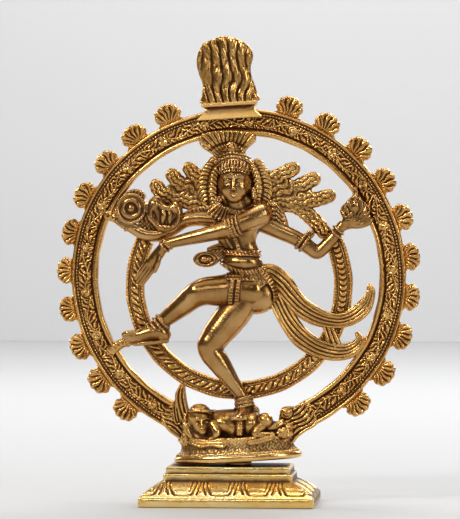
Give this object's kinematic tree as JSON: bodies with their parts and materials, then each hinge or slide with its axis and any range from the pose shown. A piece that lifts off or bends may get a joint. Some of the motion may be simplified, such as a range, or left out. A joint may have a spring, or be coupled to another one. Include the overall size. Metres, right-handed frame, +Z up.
{
  "type": "cast dancing figure in a ring of flames",
  "caption": "Brass dancer with four arms inside two ornamented rings edged with flames, on an oval pedestal screwed to a stepped lotus base.",
  "frame": {"origin": "on the surface it stands on, midway between the outermost flames and midway through the base's depth", "axes": "+X to the viewer's right across the figure, -Y the front that the face looks out of, +Z up"},
  "size_m": [0.2188, 0.07, 0.2801],
  "materials": {
    "antiqued_brass": "cast brass, dark brown patina in the recesses, rubbed bright on the high spots",
    "polished_brass": "hand-polished cast brass with soft brown shading in the folds",
    "bright_brass": "buffed yellow brass with dark lines in the engraved petals",
    "steel": "plain zinc-plated steel"
  },
  "bodies": {
    "root": {"base_casting": "bright_brass", "base_screw": "steel", "base_washer": "steel", "pedestal": "antiqued_brass", "outer_ring": "antiqued_brass", "flame_01": "polished_brass", "flame_02": "polished_brass", "flame_03": "polished_brass", "flame_04": "polished_brass", "flame_05": "polished_brass", "flame_06": "polished_brass", "flame_07": "polished_brass", "flame_08": "polished_brass", "flame_09": "polished_brass", "flame_10": "polished_brass", "flame_11": "polished_brass", "flame_12": "polished_brass", "flame_13": "polished_brass", "flame_14": "polished_brass", "flame_15": "polished_brass", "flame_16": "polished_brass", "flame_17": "polished_brass", "flame_18": "polished_brass", "flame_19": "polished_brass", "flame_20": "polished_brass", "finial_collar": "antiqued_brass", "top_finial": "polished_brass", "inner_ring": "antiqued_brass", "ring_end_left": "antiqued_brass", "ring_end_right": "antiqued_brass", "torso": "polished_brass", "head": "polished_brass", "crown_fan": "antiqued_brass", "hair_mass": "antiqued_brass", "hair_wing_left": "antiqued_brass", "hair_wing_right": "antiqued_brass", "ear_discs": "polished_brass", "necklace": "antiqued_brass", "waist_belt": "antiqued_brass", "skirt": "antiqued_brass", "sash_upper": "antiqued_brass", "sash_lower": "antiqued_brass", "medallion": "polished_brass", "drum_arm": "polished_brass", "drum": "polished_brass", "raised_palm": "polished_brass", "cross_arm": "polished_brass", "cross_hand": "polished_brass", "bangles": "antiqued_brass", "fire_arm": "polished_brass", "armlet": "antiqued_brass", "fire_bowl": "polished_brass", "raised_leg": "polished_brass", "standing_leg": "polished_brass", "anklets": "antiqued_brass", "ring_struts": "antiqued_brass", "dwarf_body": "antiqued_brass", "dwarf_head": "antiqued_brass", "serpent": "antiqued_brass"}
  },
  "joints": []
}
